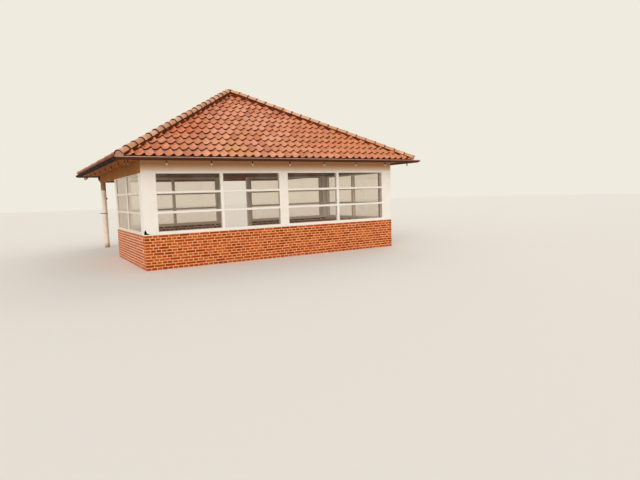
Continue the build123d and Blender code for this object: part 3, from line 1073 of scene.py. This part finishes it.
def lampPlaces():
    low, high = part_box("eave_lamps")
    shape = mergedCopy(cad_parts["eave_lamps"].data)
    places = []
    left = set(shape.verts)
    while left:
        island, queue = [], [left.pop()]
        while queue:
            vertex = queue.pop()
            island.append(vertex.co.copy())
            near = {edge.other_vert(vertex) for edge in vertex.link_edges} & left
            left -= near
            queue.extend(near)
        middle = [(min(co[i] for co in island) + max(co[i] for co in island)) / 2 for i in range(2)]
        places.append(Vector((*middle, low.z)))
    shape.free()
    places.sort(key=lambda place: (round(place.x, 3), round(place.y, 3)))
    return places, high.z - low.z


def lampParts(place, height, picker):
    values = lampValues
    globe, neck, socket, lead, sink = several(values, "globe neck socket lead sink")
    sway = Vector((picker.uniform(-1, 1), picker.uniform(-1, 1), 0)) * values["sway"]
    globeTop = 2 * globe - sink
    top = globeTop + values["socketLength"]
    angles = [math.pi * n / values["globeRows"] - math.pi / 2 for n in range(1, values["globeRows"])]
    bulb = [(globe * math.cos(angle), globe * (1 + math.sin(angle))) for angle in angles]
    parts = {"globe": bmesh.new(), "socket": bmesh.new(), "lead": bmesh.new()}
    turnedProfile(parts["globe"], [(values["tip"], 0.0), *bulb, (neck, globeTop)], values["globeSteps"])
    turnedProfile(parts["socket"], [
        (values["foot"], globeTop - sink), (socket, globeTop + values["shoulder"]),
        (socket, top - values["capDrop"]), (values["cap"], top)], values["socketSteps"])
    ring = [Vector((lead * u, lead * v, 0)) for u, v in ringOf(values["leadSides"])]
    loops = []
    for n in range(values["leadSteps"] + 1):
        up = n / values["leadSteps"]
        level = top - values["leadSink"] + (height - top) * up
        middle = Vector((0, 0, level)) + sway * math.sin(math.pi * up)
        loops.append([middle + point for point in ring])
    skin(parts["lead"], loops)
    for part in parts.values():
        part.transform(Matrix.Translation(place))
    return {key: fromBmesh("part", part) for key, part in parts.items()}


def hangLamps():
    picker = random.Random(lampValues["seed"])
    places, height = lampPlaces()
    made = [lampParts(place, height, picker) for place in places]
    globes, sockets, leads = (
        joined(name, [parts[key] for parts in made])
        for key, name in (("globe", "lampGlobes"), ("socket", "lampSockets"), ("lead", "lampLeads")))
    dress(creased(globes), globeWhite, "lamp_globe", "eave_lamps")
    dress(creased(sockets), socketBlack, "lamp_globe")
    dress(leads, socketBlack, "lamp_globe")


hangLamps()
print("lamps hung")

# The broken corner at the foot of the front left pier; a dark plate set in the notch is painted shade for
# the hollow inside the casing
chipValues = {
    "width": 0.125, "height": 0.113, "lift": 0.022, "depth": 0.014, "thickness": 0.008, "rough": 0.004,
    "seed": 3,
    "outline": [(0, 0), (0.5, 0), (1, 0), (0.74, 0.18), (0.48, 0.34), (0.4, 0.7), (0.25, 1), (0.1, 0.86),
                (0, 0.68)],
}


def chipWound():
    width, height, lift, depth, thickness, rough, seed, outline = several(
        chipValues, "width height lift depth thickness rough seed outline")
    picker = random.Random(seed)
    back = -halfPlan + depth
    loops = [[], []]
    for u, v in outline:
        x, z = -halfPlan + u * width, plinthTop + lift + v * height
        loops[0].append((x, back - thickness - picker.uniform(0.0, rough), z))
        loops[1].append((x, back, z))
    shape = bmesh.new()
    skin(shape, loops)
    return dress(fromBmesh("chipWound", shape), chipDark, "white_casing")


chipWound()

# Gutter lip and brackets
lipValues = {"radius": 0.009, "inset": 0.004, "drop": 0.01, "steps": 8}
bracketValues = {
    "count": 10, "width": 0.025, "thickness": 0.003, "steps": 10, "clearance": 0.0005, "ends": 0.3,
    "wander": (0.0, 0.0, 0.0), "turn": (0.0, 0.0, 0.0)}


def gutterLip():
    radius, inset, drop, steps = several(lipValues, "radius inset drop steps")
    middle, level = gutterReach - inset, gutterRim - drop
    profile = [(middle + radius * u, level + radius * v) for u, v in ringOf(steps)]
    shape = bmesh.new()
    skin(shape, [[(x * out, y * out, height) for out, height in profile] for x, y in planCorners], wrap=True)
    return dress(creased(fromBmesh("gutterLip", shape)), zinc, "gutter_metal")


def bracketTemplate():
    width, thickness, steps, clearance = several(bracketValues, "width thickness steps clearance")
    inner, half = gutterRadius + clearance, width / 2
    corners = [(-half, inner), (half, inner), (half, inner + thickness), (-half, inner + thickness)]
    shape = bmesh.new()
    skin(shape, [[(x, -u * radius, -v * radius) for x, radius in corners]
                 for u, v in ringOf(steps, math.pi)])
    return fromBmesh("bracketTemplate", shape)


def gutterBrackets(tree):
    values = bracketValues
    bracket = bracketTemplate()
    made = []
    run = 2 * fasciaSide - values["ends"]
    start = Matrix.Translation((-run / 2, -gutterMiddle, gutterRim))
    for quarter in range(4):
        made.append(grow("brackets" + str(quarter), tree, values, step=(run / (values["count"] - 1), 0, 0),
                         seed=quarter, piece=bracket, material=fasciaPaint))
        made[-1].data.transform(quarterTurns[quarter] @ start)
    scrap(bracket)
    return dress(joined("gutterBrackets", made), fasciaPaint, "gutter_metal")


gutterLip()
gutterBrackets(lineNodes)

# Sockets and straps of the rainwater pipe
pipeValues = {
    "radius": 0.0375, "steps": 20,
    "socketLevels": [0.62, 2.08], "socketLength": 0.07, "socketBand": (0.002, 0.005), "socketTaper": 0.01,
    "strapLevels": [0.35, 1.25, 1.95], "strapLength": 0.024, "strapBand": (0.002, 0.003), "strapTaper": 0.0,
}


def pipeFittings():
    radius, steps = several(pipeValues, "radius steps")
    middle = ((pipeLow.x + pipeHigh.x) / 2, pipeLow.y + radius)
    shape = bmesh.new()
    for names in ("socketLevels socketBand socketLength socketTaper",
                  "strapLevels strapBand strapLength strapTaper"):
        levels, band, length, taper = several(pipeValues, names)
        for level in levels:
            collar(shape, middle, radius, band, level, length / 2, steps, taper)
    return dress(creased(fromBmesh("pipeFittings", shape)), blackPipe, "black_pipe")


pipeFittings()

# Strap with its tab, and a clip, on the left column
columnValues = {"strapLevel": 1.18, "strapHeight": 0.022, "strapBand": (0.003, 0.004), "tab": 0.07,
                "tabHalf": 0.012, "tabSink": 0.004, "tabEase": 0.002, "clipLevel": 1.68, "clipHalf": 0.03,
                "clipOut": 0.022, "clipSink": 0.006, "clipBack": 0.01, "clipEase": 0.003, "steps": 32}


def columnFittings():
    radius = (columnHigh.x - columnLow.x) / 2
    x, y = ((columnLow + columnHigh) / 2).xy
    shape = bmesh.new()
    level, height, band, steps = several(columnValues, "strapLevel strapHeight strapBand steps")
    tab, wide, sink, ease = several(columnValues, "tab tabHalf tabSink tabEase")
    half, near = height / 2, x - radius
    collar(shape, (x, y), radius, band, level, half, steps)
    bevelledBox(shape, (near - tab, y - wide, level - half), (near + sink, y + wide, level + half), ease)
    level, half, out, sink, back, ease = several(
        columnValues, "clipLevel clipHalf clipOut clipSink clipBack clipEase")
    far = x + radius
    bevelledBox(shape, (far - sink, y - half, level - half), (far + out, y + back, level + half), ease)
    return dress(creased(fromBmesh("columnFittings", shape)), socketBlack, "column_paint")


columnFittings()
print("fittings placed")

# Floor, sky and soft light
stageValues = {"floorSize": 90.0, "floorColour": srgb(246, 241, 233), "floorBounce": srgb(222, 212, 200),
               "floorDrop": 0.001, "sky": srgb(240, 235, 223), "skyStrength": 1.0,
               "lightColour": (1.0, 0.975, 0.945, 1.0), "lightStrength": 0.62, "angle": 60}
sunValues = {"frontLeftSun": {"from": (-0.62, -0.76, 0.18), "strength": 2.2},
             "rearRightSun": {"from": (0.6, 0.7, 0.35), "strength": 0.8}}


def seenDirectly(tree):
    seen = 0.0
    path = put(tree, "ShaderNodeLightPath")
    for ray in ("Is Camera Ray", "Is Glossy Ray", "Is Transmission Ray"):
        seen = plus(tree, path.outputs[ray], seen, clamp=True)
    return seen


def makeFloor():
    shape = bmesh.new()
    bmesh.ops.create_grid(shape, x_segments=1, y_segments=1, size=stageValues["floorSize"])
    shape.transform(Matrix.Translation((0, 0, -stageValues["floorDrop"])))
    floor = fromBmesh("floor", shape, outward=False)
    material, tree, shader, _ = startMaterial("paleFloor", 0.9, 0.1)
    colour = blend(tree, seenDirectly(tree), stageValues["floorBounce"], stageValues["floorColour"])
    tree.links.new(colour, shader.inputs["Base Color"])
    floor.data.materials.append(material)


def makeSky():
    world = bpy.data.worlds.new("softSky")
    scene.world = world
    world.use_nodes = True
    tree = world.node_tree
    tree.nodes.clear()
    seen, light = (
        take(tree, "ShaderNodeBackground", {"Color": stageValues[colour], "Strength": stageValues[strength]})
        for colour, strength in (("sky", "skyStrength"), ("lightColour", "lightStrength")))
    mixture = take(tree, "ShaderNodeMixShader", {0: seenDirectly(tree), 1: light, 2: seen})
    put(tree, "ShaderNodeOutputWorld", {"Surface": mixture})


def makeSuns():
    for name, values in sunValues.items():
        light = bpy.data.lights.new(name, "SUN")
        light.energy = values["strength"]
        light.color = stageValues["lightColour"][:3]
        light.angle = math.radians(stageValues["angle"])
        holder = fromMesh(name, light)
        holder.rotation_euler = Vector(values["from"]).to_track_quat("Z", "Y").to_euler()


# The camera, from a fit to the brickwork, the eaves and the apex
cameraValues = {"focalPixels": 487.56, "imageWidth": 640, "sensor": 36.0, "clipEnd": 300,
                "fromCorner": (-2.2771, -11.2872, 1.5887), "yaw": 0.545, "pitch": -0.0928, "roll": -0.0313}


def makeCamera():
    values = cameraValues
    data = bpy.data.cameras.new("camera")
    data.sensor_width = values["sensor"]
    data.lens = values["focalPixels"] / values["imageWidth"] * values["sensor"]
    data.clip_end = values["clipEnd"]
    matrix = Matrix.Translation(Vector(values["fromCorner"]) - Vector((halfPlan, halfPlan, 0)))
    for turn, way in ((-values["yaw"], "Z"), (math.pi / 2 + values["pitch"], "X"), (values["roll"], "Z")):
        matrix = matrix @ Matrix.Rotation(turn, 4, way)
    scene.camera = fromMesh("camera", data)
    scene.camera.matrix_world = matrix


makeFloor()
makeSky()
makeSuns()
makeCamera()
scene.view_settings.view_transform = "Standard"
print("stage ready")
